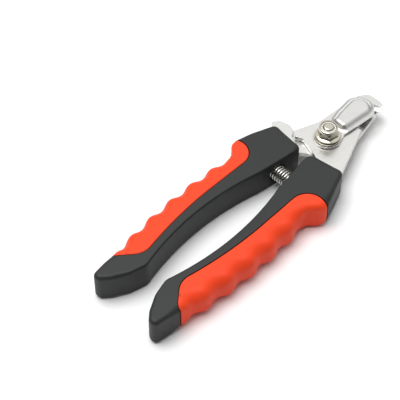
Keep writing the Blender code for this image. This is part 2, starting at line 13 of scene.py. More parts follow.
import bmesh
import bpy
import numpy as np
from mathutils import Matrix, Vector


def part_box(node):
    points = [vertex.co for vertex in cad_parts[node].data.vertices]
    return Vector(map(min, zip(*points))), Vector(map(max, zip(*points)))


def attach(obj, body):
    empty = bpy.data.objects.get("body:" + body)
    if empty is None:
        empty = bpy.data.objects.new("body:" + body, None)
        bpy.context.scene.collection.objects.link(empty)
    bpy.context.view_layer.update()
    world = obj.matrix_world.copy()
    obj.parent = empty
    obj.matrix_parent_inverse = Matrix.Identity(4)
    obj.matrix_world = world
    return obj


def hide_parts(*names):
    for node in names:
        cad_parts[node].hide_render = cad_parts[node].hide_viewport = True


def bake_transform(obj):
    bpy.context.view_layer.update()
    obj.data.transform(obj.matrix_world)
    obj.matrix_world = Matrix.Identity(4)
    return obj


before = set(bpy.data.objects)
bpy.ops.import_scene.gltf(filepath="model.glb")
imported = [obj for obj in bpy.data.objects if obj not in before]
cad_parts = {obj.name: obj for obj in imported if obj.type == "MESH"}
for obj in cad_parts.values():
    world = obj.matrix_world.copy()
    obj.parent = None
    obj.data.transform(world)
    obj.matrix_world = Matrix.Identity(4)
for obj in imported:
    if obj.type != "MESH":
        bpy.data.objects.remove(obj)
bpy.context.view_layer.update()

LOG = logging.getLogger("clipper")
MM = 0.001

# Clearances in millimetres: round moulded-in pieces, and round a shaft in its bore.
GAP = 0.3
RUNNING = 0.15

# How far a cutting tool runs past the face that it opens.
OVER = 1.0

# Part of a noise's range that is taken up by its waves.
NOISE_LOW = 0.3
NOISE_HIGH = 0.7


class Side(Enum):
    """Which of the two levers a piece belongs to, with its sign along Y."""

    RIGHT = -1
    LEFT = 1

    @property
    def word(self) -> str:
        """Side's name as the frame's nodes spell it."""
        return self.name.lower()

    @property
    def body(self) -> str:
        """Frame body that the side's lever rides on."""
        return self.word + "_lever"


# ---------------------------------------------------------------- finishes


@dataclass(frozen=True)
class Finish:
    """A finish with a fine grain, built from noise on the piece's own coordinates.

    The grain is a noise stretched by grain_scale along X, Y and Z, in waves per metre. It moves the
    roughness by roughness_swing, the colour by colour_swing and the surface by bump_height metres.
    """

    name: str
    slot: str
    colour: tuple[float, float, float]
    roughness: float
    metallic: float = 0.0
    specular: float = 0.5
    grain_scale: tuple[float, float, float] = (900.0, 900.0, 900.0)
    roughness_swing: float = 0.06
    colour_swing: float = 0.06
    bump_height: float = 0.00001
    cloud_scale: float = 60.0
    cloud_swing: float = 0.08

    def build(self) -> bpy.types.Material:
        """Make the node material.

        Returns:
            The material, ready for a mesh's slot.
        """
        made = bpy.data.materials.new(self.name)
        made.use_nodes = True
        nodes, links = made.node_tree.nodes, made.node_tree.links
        shader = nodes["Principled BSDF"]
        shader.inputs["Metallic"].default_value = self.metallic
        shader.inputs["Specular IOR Level"].default_value = self.specular

        coords = nodes.new("ShaderNodeTexCoord")
        stretch = nodes.new("ShaderNodeMapping")
        stretch.inputs["Scale"].default_value = self.grain_scale
        links.new(coords.outputs["Object"], stretch.inputs["Vector"])
        grain = nodes.new("ShaderNodeTexNoise")
        grain.inputs["Scale"].default_value = 1.0
        grain.inputs["Detail"].default_value = 3.0
        links.new(stretch.outputs["Vector"], grain.inputs["Vector"])
        cloud = nodes.new("ShaderNodeTexNoise")
        cloud.inputs["Scale"].default_value = self.cloud_scale
        cloud.inputs["Detail"].default_value = 2.0
        links.new(coords.outputs["Object"], cloud.inputs["Vector"])

        colour = nodes.new("ShaderNodeMix")
        colour.data_type = "RGBA"
        dark = 1.0 - self.colour_swing - self.cloud_swing
        colour.inputs["A"].default_value = (*[c * dark for c in self.colour], 1.0)
        colour.inputs["B"].default_value = (*[min(c * (2.0 - dark), 1.0) for c in self.colour], 1.0)
        share = self.cloud_swing / max(self.colour_swing + self.cloud_swing, 1e-6)
        blend = nodes.new("ShaderNodeMix")
        blend.data_type = "FLOAT"
        blend.inputs["Factor"].default_value = share
        links.new(grain.outputs["Fac"], blend.inputs["A"])
        links.new(cloud.outputs["Fac"], blend.inputs["B"])
        links.new(blend.outputs["Result"], colour.inputs["Factor"])
        links.new(colour.outputs["Result"], shader.inputs["Base Color"])

        rough = nodes.new("ShaderNodeMapRange")
        rough.inputs["From Min"].default_value = NOISE_LOW
        rough.inputs["From Max"].default_value = NOISE_HIGH
        rough.inputs["To Min"].default_value = self.roughness - self.roughness_swing
        rough.inputs["To Max"].default_value = self.roughness + self.roughness_swing
        links.new(grain.outputs["Fac"], rough.inputs["Value"])
        links.new(rough.outputs["Result"], shader.inputs["Roughness"])

        bump = nodes.new("ShaderNodeBump")
        bump.inputs["Strength"].default_value = 1.0
        bump.inputs["Distance"].default_value = self.bump_height
        links.new(grain.outputs["Fac"], bump.inputs["Height"])
        links.new(bump.outputs["Normal"], shader.inputs["Normal"])
        return made


@dataclass(frozen=True)
class FinishSet:
    """All the finishes of the clipper, each made once."""

    moulding: Finish = Finish(
        "charcoal_moulding", "black_moulding", (0.019, 0.021, 0.020), 0.52, specular=0.35,
        grain_scale=(2600.0, 2600.0, 2600.0), bump_height=0.00002, cloud_scale=45.0)
    rubber: Finish = Finish(
        "orange_soft_rubber", "orange_rubber", (0.86, 0.058, 0.013), 0.5, specular=0.22,
        grain_scale=(1800.0, 1800.0, 1800.0), roughness_swing=0.04, colour_swing=0.03,
        bump_height=0.000012, cloud_scale=35.0, cloud_swing=0.05)
    plate: Finish = Finish(
        "satin_ground_steel", "satin_steel", (0.74, 0.735, 0.71), 0.30, metallic=1.0,
        grain_scale=(120.0, 3800.0, 1200.0), roughness_swing=0.03, colour_swing=0.015,
        bump_height=0.0000012, cloud_scale=90.0, cloud_swing=0.04)
    stamped: Finish = Finish(
        "stamped_guard_steel", "satin_steel", (0.76, 0.755, 0.735), 0.24, metallic=1.0,
        grain_scale=(300.0, 1500.0, 900.0), roughness_swing=0.04, colour_swing=0.02,
        bump_height=0.000004, cloud_scale=120.0, cloud_swing=0.03)
    nickel: Finish = Finish(
        "nickel_plate", "nickel_plate", (0.62, 0.59, 0.50), 0.18, metallic=1.0,
        grain_scale=(1500.0, 1500.0, 1500.0), roughness_swing=0.04, colour_swing=0.03,
        bump_height=0.000005, cloud_scale=160.0, cloud_swing=0.05)
    wire: Finish = Finish(
        "drawn_spring_wire", "spring_wire", (0.66, 0.65, 0.61), 0.22, metallic=1.0,
        grain_scale=(2500.0, 600.0, 2500.0), roughness_swing=0.04, colour_swing=0.04,
        bump_height=0.000003, cloud_scale=200.0)
    nylon: Finish = Finish(
        "pale_lock_nylon", "pale_nylon", (0.80, 0.79, 0.74), 0.45,
        grain_scale=(2000.0, 2000.0, 2000.0), cloud_scale=200.0)
    made: dict[str, bpy.types.Material] = field(default_factory=dict)

    def of(self, finish: Finish) -> bpy.types.Material:
        """Material of a finish, made at its first use."""
        if finish.name not in self.made:
            self.made[finish.name] = finish.build()
        return self.made[finish.name]


FINISHES = FinishSet()


# ---------------------------------------------------------------- outlines


def rounded(corners: list[tuple[float, float, float]], step: float = 5.0) -> np.ndarray:
    """Closed outline through corners, each rounded by an arc that touches both of its sides.

    Args:
        corners: (x, y, radius) of each corner, in order.
        step: Degrees of arc between two points.

    Returns:
        Points of the outline, one row each.
    """
    points = []
    count = len(corners)
    for i, (x, y, radius) in enumerate(corners):
        here = np.array([x, y])
        if radius == 0:
            points.append(here[None, :])
            continue
        back = np.array(corners[i - 1][:2]) - here
        ahead = np.array(corners[(i + 1) % count][:2]) - here
        back, ahead = back / np.hypot(*back), ahead / np.hypot(*ahead)
        half = math.acos(np.clip(back @ ahead, -1, 1)) / 2
        centre = here + (back + ahead) / np.hypot(*(back + ahead)) * radius / math.sin(half)
        start = here + back * radius / math.tan(half) - centre
        end = here + ahead * radius / math.tan(half) - centre
        turn = math.atan2(start[0] * end[1] - start[1] * end[0], start @ end)
        a = np.linspace(0, turn, max(1, round(abs(math.degrees(turn)) / step)) + 1)
        x_part = start[0] * np.cos(a) - start[1] * np.sin(a)
        y_part = start[0] * np.sin(a) + start[1] * np.cos(a)
        points.append(centre + np.column_stack([x_part, y_part]))
    return np.vstack(points)


def points_along(line: np.ndarray, count: int, to_end: bool = True) -> np.ndarray:
    """Evenly spaced points along an open line.

    Args:
        line: Points of the line.
        count: Number of points wanted.
        to_end: Whether the last of them lies on the line's end, or one step before it.

    Returns:
        The new points.
    """
    along = np.concatenate([[0], np.cumsum(np.hypot(*np.diff(line, axis=0).T))])
    at = np.linspace(0, along[-1], count, endpoint=to_end)
    return np.column_stack([np.interp(at, along, line[:, 0]), np.interp(at, along, line[:, 1])])


def evenly(outline: np.ndarray, spacing: float) -> np.ndarray:
    """Closed outline resampled at an even spacing along its length."""
    line = np.vstack([outline, outline[:1]])
    length = np.hypot(*np.diff(line, axis=0).T).sum()
    return points_along(line, max(3, round(length / spacing)), to_end=False)


def outward(outline: np.ndarray) -> np.ndarray:
    """Unit outward direction at each point of an anticlockwise closed outline."""
    along = np.roll(outline, -1, axis=0) - np.roll(outline, 1, axis=0)
    along = along / np.linalg.norm(along, axis=1)[:, None]
    return np.column_stack([along[:, 1], -along[:, 0]])


def softened(values: np.ndarray, spread: float) -> np.ndarray:
    """Values around a closed outline, blurred by a bell curve of that many points' spread."""
    reach = np.arange(-round(3 * spread), round(3 * spread) + 1)
    bell = np.exp(-0.5 * (reach / spread) ** 2)
    return sum(w * np.roll(values, k, axis=0) for k, w in zip(reach, bell / bell.sum()))


def eased(share: np.ndarray) -> np.ndarray:
    """Share from 0 to 1, held to that range, with a slow start and a slow end."""
    s = np.clip(share, 0, 1)
    return s * s * (3 - 2 * s)


def mirrored(outline: np.ndarray) -> np.ndarray:
    """The same outline on the other side of the centreline, still running anticlockwise."""
    return (outline * [1, -1])[::-1]


def turned_about(outline: np.ndarray, degrees: float) -> np.ndarray:
    """The outline turned in plan about the pivot."""
    a = math.radians(degrees)
    return outline @ np.array([[math.cos(a), math.sin(a)], [-math.sin(a), math.cos(a)]])


# ---------------------------------------------------------------- meshes


def quads(rows: int, columns: int, close_rows: bool = False) -> np.ndarray:
    """Faces of a grid of closed rows of points, stored row by row.

    Args:
        rows: Number of rows.
        columns: Points in each row.
        close_rows: Whether the last row joins the first.

    Returns:
        One row of four point numbers for each face.
    """
    r = np.arange(rows if close_rows else rows - 1)[:, None]
    c = np.arange(columns)[None, :]
    after, beside = (r + 1) % rows, (c + 1) % columns
    corners = [r * columns + c, r * columns + beside, after * columns + beside, after * columns + c]
    return np.stack(corners, axis=-1).reshape(-1, 4)


def new_body(name: str, points: np.ndarray, faces: list[list[int]]) -> bpy.types.Object:
    """Closed object from points in millimetres about the pivot, with its faces pointing out.

    Args:
        name: Name of the object.
        points: One row (x, y, z) for each point.
        faces: Point numbers of each face.

    Returns:
        The object, linked into the scene.
    """
    mesh = bpy.data.meshes.new(name)
    in_frame = (points + np.array([PIVOT_X, 0.0, 0.0])) * MM
    mesh.from_pydata(in_frame.tolist(), [], faces)
    shaped = bmesh.new()
    shaped.from_mesh(mesh)
    bmesh.ops.remove_doubles(shaped, verts=shaped.verts, dist=1e-7)
    bmesh.ops.recalc_face_normals(shaped, faces=shaped.faces)
    shaped.to_mesh(mesh)
    shaped.free()
    made = bpy.data.objects.new(name, mesh)
    bpy.context.scene.collection.objects.link(made)
    return made


def stacked(name: str, rings: np.ndarray) -> bpy.types.Object:
    """Body made of equal closed rings, one above the other, with a flat cap at each end.

    Args:
        name: Name of the object.
        rings: Array of (ring, point, xyz).

    Returns:
        The object.
    """
    count, size = rings.shape[:2]
    faces = quads(count, size).tolist()
    faces.append(list(range(size))[::-1])
    faces.append(list(range((count - 1) * size, count * size)))
    return new_body(name, rings.reshape(-1, 3), faces)


def turned_body(name: str, rows: list[tuple], centre: tuple[float, float] = (0.0, 0.0), sides: int = 96,
                looped: bool = False) -> bpy.types.Object:
    """Body turned about an upright axis: each row is (radius, z), either a number or one per angle.

    Args:
        name: Name of the object.
        rows: Radius and height of each row, from the inside of the lower face, outwards and up.
        centre: The axis in plan.
        sides: Number of angles.
        looped: Whether the last row joins the first, as in a ring; otherwise both ends are capped.

    Returns:
        The object.
    """
    a = np.linspace(0, 2 * math.pi, sides, endpoint=False)
    rings = []
    for radius, z in rows:
        r = np.broadcast_to(radius, (sides,))
        rings.append(np.column_stack([centre[0] + r * np.cos(a), centre[1] + r * np.sin(a),
                                      np.broadcast_to(z, (sides,))]))
    grid = np.stack(rings)
    if looped:
        return new_body(name, grid.reshape(-1, 3), quads(len(rows), sides, close_rows=True).tolist())
    return stacked(name, grid)


def slab(name: str, outline: np.ndarray, low: float, high: float, edge: float = 0.0) -> bpy.types.Object:
    """Plate between two heights whose rim is rounded: the outline steps in along a quarter circle.

    Args:
        name: Name of the object.
        outline: Anticlockwise outline in plan.
        low: Height of the lower face.
        high: Height of the upper face.
        edge: Radius of the rim; none makes a plain block.

    Returns:
        The object.
    """
    way = outward(outline)
    steps = [(0.0, low), (0.0, high)]
    if edge:
        a = np.linspace(math.pi / 2, 0, 4)
        lower = [(edge * (1 - math.cos(t)), low + edge * (1 - math.sin(t))) for t in a]
        steps = lower + [(inset, low + high - z) for inset, z in lower[::-1]]
    rings = [np.column_stack([outline - way * inset, np.full(len(outline), z)]) for inset, z in steps]
    return stacked(name, np.stack(rings))


def cut(body: bpy.types.Object, tool: bpy.types.Object) -> None:
    """Cut a tool out of a body; the result is kept in the body's mesh and the tool goes."""
    step = body.modifiers.new("cut", "BOOLEAN")
    step.operation = "DIFFERENCE"
    step.solver = "EXACT"
    step.object = tool
    graph = bpy.context.evaluated_depsgraph_get()
    mesh = bpy.data.meshes.new_from_object(body.evaluated_get(graph))
    body.modifiers.clear()
    body.data = mesh
    bpy.data.objects.remove(tool, do_unlink=True)


def dress(piece: bpy.types.Object, finish: Finish, smooth_angle: float = 35.0) -> None:
    """Give a piece its finish, with smooth shading between faces that meet at a shallow angle."""
    piece.data.materials.clear()
    piece.data.materials.append(FINISHES.of(finish))
    piece.data.shade_smooth()
    piece.data.set_sharp_from_angle(angle=math.radians(smooth_angle))
    shading = piece.modifiers.new("even_shading", "WEIGHTED_NORMAL")
    shading.keep_sharp = True
    shading.weight = 100


def place(piece: bpy.types.Object, node: str, body: str) -> None:
    """Put a finished piece in a frame node's stead, riding on a body."""
    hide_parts(node)
    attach(piece, body)
    LOG.info("%s: %d points on %s", piece.name, len(piece.data.vertices), body)


def pivot_axis_x() -> float:
    """Place of the pivot bolt along X in the frame, in millimetres."""
    low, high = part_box("pivot_bolt")
    return (low.x + high.x) / 2 / MM


PIVOT_X = pivot_axis_x()


# ---------------------------------------------------------------- levels


@dataclass(frozen=True)
class Levels:
    """Heights of the stack on the bolt, in millimetres above the resting plane."""

    height: float = 14.2
    plate: float = 2.2
    stack_gap: float = 0.25
    washer: float = 0.5
    guard: float = 0.9
    nut: float = 5.4
    head: float = 2.7

    @property
    def middle(self) -> float:
        """Plane where the two blade plates slide."""
        return self.height / 2

    @property
    def upper_plate(self) -> float:
        """Underside of the upper blade plate."""
        return self.middle + GAP / 2

    @property
    def lower_plate(self) -> float:
        """Underside of the lower blade plate."""
        return self.middle - GAP / 2 - self.plate

    @property
    def guard_low(self) -> float:
        """Underside of the guard's base ring."""
        return self.upper_plate + self.plate + self.stack_gap

    @property
    def nut_washer(self) -> float:
        """Underside of the washer under the nut."""
        return self.guard_low + self.guard + self.stack_gap

    @property
    def nut_low(self) -> float:
        """Underside of the nut's flange."""
        return self.nut_washer + self.washer + self.stack_gap

    @property
    def nut_top(self) -> float:
        """Top of the nut's collar."""
        return self.nut_low + self.nut

    @property
    def head_washer(self) -> float:
        """Underside of the washer at the bolt's head."""
        return self.lower_plate - self.stack_gap - self.washer

    @property
    def head_low(self) -> float:
        """Lowest face of the bolt's head."""
        return self.head_washer - self.stack_gap - self.head


LEVELS = Levels()


# ---------------------------------------------------------------- blades


@dataclass
class Blades:
    """The two crossed blade plates; the lower one is the upper one's mirror image."""

    tip_reach: float = 32.9
    jaw_back: float = 7.9
    notch: tuple[float, float] = (22.5, -6.5)
    notch_radius: float = 6.3
    bevel_width: float = 2.3
    bevel_depth: float = 1.5
    bevel_hollow: float = 0.22
    shoulder: tuple[float, float] = (-9.3, 11.6)
    jaw_turn: float = 5.0
    jaw_root: float = 8.0
    tang_end: float = -60.0
    bush_radius: float = 4.0
    rim: float = 0.16

    def upper_outline(self) -> np.ndarray:
        """Plan of the upper plate: jaw with a round notch, pivot disc, shoulder and tang."""
        notch_x, notch_y = self.notch
        lip_y, beak_y = notch_y + 0.3, notch_y + 0.9
        outer = [(*self.shoulder, 0.6), (-7.4, 7.4, 1.5), (-11.4, -2.7, 2.0), (-12.8, -4.6, 0),
                 (-22.4, -5.8, 1.5), (-22.8, -11.4, 1.5), (-34.0, -12.2, 4.0), (self.tang_end, -12.2, 2.0),
                 (self.tang_end, -16.6, 2.0), (-37.0, -17.2, 6.0), (-22.0, -19.2, 6.0), (-14.0, -18.4, 4.0),
                 (-8.4, -16.5, 4.0), (8.0, -9.9, 20.0),
                 (notch_x - self.notch_radius - 0.35, lip_y - 0.4, 0.4)]
        first = math.pi - math.asin((lip_y - notch_y) / self.notch_radius)
        last = math.asin((beak_y - notch_y) / self.notch_radius)
        a = np.linspace(first, last, 48)
        x, y = notch_x + self.notch_radius * np.cos(a), notch_y + self.notch_radius * np.sin(a)
        notch = [(float(px), float(py), 0) for px, py in zip(x, y)]
        hook = [(self.tip_reach - 1.4, beak_y - 0.2, 0.7), (self.tip_reach, -2.6, 2.5),
                (self.tip_reach, 4.6, 3.6), (27.6, 7.2, 7.0), (21.5, self.jaw_back, 10.0),
                (6.4, 9.0, 20.0)]
        return rounded(outer + notch + hook, step=6.0)

    def lower_outline(self) -> np.ndarray:
        """Plan of the lower plate, with its jaw set a little further shut."""
        lower = mirrored(self.upper_outline())
        jaw = lower[:, 0] > self.jaw_root
        lower[jaw] = turned_about(lower[jaw], self.jaw_turn)
        return lower

    def bevel_tool(self, centre: tuple[float, float], face: float, away: int) -> bpy.types.Object:
        """Cone that leaves the hollow-ground bevel around a notch.

        Args:
            centre: Centre of the notch.
            face: Height of the face that is ground.
            away: +1 when that face looks up and -1 when it looks down.

        Returns:
            The tool.
        """
        share = np.linspace(0, 1 + OVER / self.bevel_depth, 8)
        sag = self.bevel_hollow * np.sin(np.clip(share, 0, 1) * math.pi)
        radius = self.notch_radius + self.bevel_width * share
        height = face - away * self.bevel_depth * (1 - share) - away * sag
        return turned_body("bevel_tool", list(zip(radius, height)), centre, 128)

    def make(self, side: Side) -> None:
        """Build, dress and place one plate."""
        if side is Side.RIGHT:
            outline, low, centre = self.upper_outline(), LEVELS.upper_plate, self.notch
            face, away = low + LEVELS.plate, 1
        else:
            outline, low = self.lower_outline(), LEVELS.lower_plate
            centre = tuple(turned_about(np.array([self.notch[0], -self.notch[1]]), self.jaw_turn))
            face, away = low, -1
        plate = slab("blade_" + side.word, outline, low, low + LEVELS.plate, self.rim)
        cut(plate, self.bevel_tool(centre, face, away))
        bore = self.bush_radius + RUNNING
        cut(plate, turned_body("bore_tool", [(bore, low - OVER), (bore, low + LEVELS.plate + OVER)]))
        dress(plate, FINISHES.plate, 25.0)
        place(plate, side.word + "_blade_plate", side.body)


BLADES = Blades()


# ---------------------------------------------------------------- handles


@dataclass
class HandleShape:
    """Shape that both handles share, drawn for the left one and mirrored for the right one."""

    front_face: float = -13.9
    nose_inner: float = 2.3
    front_corner: tuple[float, float] = (-12.3, 19.4)
    shoulder_peak: tuple[float, float] = (-32.2, 27.2)
    arch_start: float = -37.0
    arch_middle_y: float = 9.7
    heel_inner: float = 5.2
    butt: float = -124.0
    heel: float = butt + 19.0
    arch_middle_x: float = (heel + arch_start) / 2
    butt_outer: float = 17.8
    butt_inner: float = 14.0
    back_middle: tuple[float, float] = (-68.0, 23.7)
    back_rear: float = 20.5
    wave_pitch: float = 12.2
    wave_depth: float = 0.6
    wave_crest: float = -74.0
    wave_front: float = -43.0
    wave_rear: float = butt + 17.0
    inner_edge: float = 0.9
    shoulder_edge: float = 2.0
    grip_edge: float = 5.0
    nose_edge: float = 2.5
    grip_front_edge: float = 3.6
    butt_edge: float = 1.9
    outer_band: float = 6.0
    spacing: float = 0.5

    def arch(self, x: np.ndarray) -> np.ndarray:
        """Inner edge: a parabola from its middle down to the heel."""
        share = (x - self.arch_middle_x) / (self.heel - self.arch_middle_x)
        return self.arch_middle_y - (self.arch_middle_y - self.heel_inner) * share ** 2

    def wave(self, x: np.ndarray) -> np.ndarray:
        """Finger waves: a cosine that is 1 on each crest."""
        return np.cos(2 * math.pi * (x - self.wave_crest) / self.wave_pitch)

    def back(self, x: np.ndarray) -> np.ndarray:
        """Outer edge: a shallow bow with the finger waves on it."""
        share = (x - self.back_middle[0]) / (self.wave_rear - self.back_middle[0])
        bow = self.back_middle[1] - (self.back_middle[1] - self.back_rear) * share ** 2
        return bow + self.wave_depth * self.wave(x)

    def outer_side(self, outline: np.ndarray) -> np.ndarray:
        """Whether each point lies on the outer side, well away from the arch."""
        x, y = outline.T
        return y > self.arch(np.clip(x, self.heel, self.arch_start)) + self.outer_band

    def outline(self) -> np.ndarray:
        """Left handle in plan, anticlockwise, evenly spaced."""
        inner = [(self.butt + 4.2, 10.8, 6.0), (self.butt + 10.8, 7.3, 9.0),
                 (self.heel, self.heel_inner, 5.0)]
        arch_x = np.linspace(self.heel + 3.5, self.arch_start - 1, 60)
        inner += [(float(x), float(y), 0) for x, y in zip(arch_x, self.arch(arch_x))]
        nose = [(-19.0, 2.7, 4.0), (self.front_face - 0.2, self.nose_inner, 3.1),
                (self.front_face, 7.0, 4.0)]
        shoulder = [(*self.front_corner, 3.0), (*self.shoulder_peak, 5.0), (-38.4, 21.5, 4.5)]
        back_x = np.linspace(self.wave_front, self.wave_rear, 200)
        waves = [(float(x), float(y), 0) for x, y in zip(back_x, self.back(back_x))]
        butt = [(self.butt + 5.0, self.butt_outer + 0.7, 0), (self.butt, self.butt_outer, 2.4),
                (self.butt + 0.6, self.butt_inner, 2.3)]
        return evenly(rounded(inner + nose + shoulder + waves + butt), self.spacing)

    def edge_radius(self, outline: np.ndarray) -> np.ndarray:
        """Radius of the upper and lower edges at each point: crisp inside, full along the grip."""
        x, y = outline.T
        radius = np.full(len(outline), self.inner_edge)
        outer = self.outer_side(outline)
        radius[outer] = self.shoulder_edge
        radius[outer & (x < GRIP.front + 4)] = self.grip_front_edge
        grip = outer & (x < self.wave_front) & (x > self.wave_rear)
        radius[grip] = self.grip_edge
        radius[(x > self.front_corner[0] - 5) & (y < self.front_corner[1] - 2)] = self.nose_edge
        radius[x < GRIP.rear - 2] = self.butt_edge
        return softened(radius, 2.2 / self.spacing)


@dataclass
class GripShape:
    """Outline of the soft grip on its handle, drawn for the left handle."""

    wall: float = 2.2
    front: float = -30.2
    rear: float = HandleShape.butt + 12.5
    inner: float = 14.2
    rear_inner: float = 10.4
    taper_start: float = -60.0
    taper_end: float = rear + 13.5
    lip: float = 0.45
    scallop: float = 2.1
    scallop_level: float = 0.35
    straight_ends: float = 0.05
    beyond: float = 40.0

    def border(self, inset: float = 0.0) -> np.ndarray:
        """Edge of the grip on the handle's face, from its front outer end round to its rear one.

        Both ends of the line run out in Y to well beyond the handle.

        Args:
            inset: Distance by which the line lies inside the recess.

        Returns:
            Points of the open line.
        """
        share = np.linspace(1, 0, 25)
        x = self.taper_start + (self.taper_end - self.taper_start) * share
        y = self.inner - (self.inner - self.rear_inner) * share ** 2
        taper = [(float(a), float(b), 0) for a, b in zip(x, y)]
        corners = [(self.rear, self.beyond, 0), (self.rear, 18.0, 5.0), (self.rear + 9.1, 10.2, 9.0)]
        corners += taper + [(self.front, self.inner - 0.4, 8.0), (self.front, self.beyond, 0)]
        closed = rounded(corners)
        return (closed - outward(closed) * inset)[::-1]


GRIP = GripShape()
HANDLE = HandleShape()


@dataclass
class Handle:
    """Black moulded core and orange soft grip of one lever."""

    side: Side
    pocket_radius: float = 4.2
    pocket_start: float = 0.5
    pocket_end: float = 10.5
    lock_well: float = 3.4
    well_floor: float = 3.4
    well_roof: float = 11.15
    steps: int = 7

    def moulded(self, name: str, inset: float, share: np.ndarray | float) -> bpy.types.Object:
        """Handle body with quarter-round upper and lower edges, or the body left inside a wall.

        Each point of the outline carries the quarter circle of its own edge radius; with a wall,
        the point and the faces step in by inset, in plan by its share.

        Args:
            name: Name of the object.
            inset: Thickness of the wall left off, or none.
            share: Share of the wall that is left off in plan, for each point.

        Returns:
            The object, for the side wanted.
        """
        outline = HANDLE.outline()
        way = outward(outline)
        radius = HANDLE.edge_radius(outline)
        reach = np.maximum(radius - inset, 0.3)
        lower, upper = [], []
        for a in np.linspace(math.pi / 2, 0, self.steps + 1):
            flat = outline - way * (inset * share + reach * (1 - math.cos(a)))[:, None]
            edge = inset + reach * (1 - math.sin(a))
            lower.append(np.column_stack([flat, edge]))
            upper.append(np.column_stack([flat, LEVELS.height - edge]))
        rings = np.stack(lower + upper[::-1])
        rings[:, :, 1] *= self.side.value
        return stacked(name, rings)

    def recess(self) -> bpy.types.Object:
        """Tool for the recess of the grip: the grip's region less the body kept under it."""
        line = GRIP.border()[::-1]
        outline = line if self.side is Side.LEFT else mirrored(line)
        region = slab("recess_tool", outline, -OVER, LEVELS.height + OVER)
        plan = HANDLE.outline()
        x = plan[:, 0]
        under = HANDLE.outer_side(plan) & (x < GRIP.front + 4) & (x > GRIP.rear - 4)
        share = softened(np.where(under, 1.0, 0.3), 1.5)
        cut(region, self.moulded("kept_core", GRIP.wall, share))
        return region

    def make_core(self) -> None:
        """Build the core with its recess, blade seat, spring pocket and, on the left, lock slot."""
        core = self.moulded("core_" + self.side.word, 0.0, 0.0)
        cut(core, self.recess())
        if self.side is Side.LEFT:
            plate, low = BLADES.lower_outline(), LEVELS.lower_plate
        else:
            plate, low = BLADES.upper_outline(), LEVELS.upper_plate
        cut(core, slab("seat_tool", plate + outward(plate) * GAP, low - GAP, low + LEVELS.plate + GAP))
        a = np.linspace(0, 2 * math.pi, 64, endpoint=False)
        x = ReturnSpring.x + self.pocket_radius * np.cos(a)
        z = LEVELS.middle + self.pocket_radius * np.sin(a)
        rings = []
        for y in (self.pocket_start, self.pocket_end):
            rings.append(np.column_stack([x, np.full(len(a), y * self.side.value), z]))
        cut(core, stacked("pocket_tool", np.stack(rings)))
        if self.side is Side.LEFT:
            slot = rounded([(4.0, 3.8, 0), (4.0, 34.0, 0), (-23.2, 34.0, 0), (-23.2, 5.2, 3.0),
                            (-15.0, 5.2, 2.0), (-13.0, 3.8, 0)])
            low = LEVELS.upper_plate
            cut(core, slab("slot_tool", slot, low - GAP, low + LockLever.thickness + GAP))
            well = [(self.lock_well, self.well_floor), (self.lock_well, self.well_roof)]
            cut(core, turned_body("well_tool", well, LockLever.pivot, 64))
        dress(core, FINISHES.moulding, 40.0)
        place(core, self.side.word + "_handle_core", self.side.body)

    def grip_side(self, wall: float) -> tuple[np.ndarray, np.ndarray, np.ndarray]:
        """Outer side of the grip in plan, from its front end to its rear end.

        In the hollows between the fingers the round of the edge reaches further in, which scallops
        the grip.

        Args:
            wall: Distance inwards from the grip's surface.

        Returns:
            The points, the way outwards at each, and how far in the round of the edge reaches.
        """
        plan = HANDLE.outline()
        radius = HANDLE.edge_radius(plan)
        way = outward(plan)
        x = plan[:, 0]
        on = HANDLE.outer_side(plan) & (x <= GRIP.front - GAP) & (x >= GRIP.rear + GAP)
        first = int(np.argmax(on & ~np.roll(on, 1)))
        pick = (first + np.arange(int(on.sum()))) % len(plan)
        side, way, radius, x = plan[pick], way[pick], radius[pick], x[pick]
        t = np.linspace(0, 1, len(pick))
        inner = eased(np.minimum(t, 1 - t) / GRIP.straight_ends)
        way = way * inner[:, None] + np.array([0.0, 1.0]) * (1 - inner[:, None])
        way = way / np.linalg.norm(way, axis=1)[:, None]
        waved = (x < HANDLE.wave_front + 3) & (x > HANDLE.wave_rear - 2)
        hollow = softened(np.where(waved, 0.5 - 0.5 * HANDLE.wave(x), 0.0), 3.0)
        scallop = GRIP.scallop * (hollow - GRIP.scallop_level) * inner
        return side, way, np.maximum(radius + scallop - wall, 0.4)

    def grip_border(self, rim: np.ndarray, wall: float) -> tuple[np.ndarray, np.ndarray, np.ndarray]:
        """Border of the grip on the handle's face, with one point for each section.

        Args:
            rim: Where each section's flat face ends, in plan.
            wall: Distance inwards from the grip's surface.

        Returns:
            The border's points, and the whole lines of its front and rear ends with Y rising.
        """
        line = GRIP.border(GAP + wall * 0.2)
        front = line[line[:, 0] > GRIP.front - 8.0][::-1]
        rear = line[int(np.argmin(line[:, 1])):]
        start = int(np.argmax(line[:, 1] < rim[0, 1]))
        stop = len(line) - int(np.argmax(line[::-1, 1] < rim[-1, 1]))
        first_end = [np.interp(rim[0, 1], front[:, 1], front[:, 0]), rim[0, 1]]
        last_end = [np.interp(rim[-1, 1], rear[:, 1], rear[:, 0]), rim[-1, 1]]
        line = np.vstack([first_end, line[start:stop], last_end])
        return points_along(line, len(rim)), front, rear

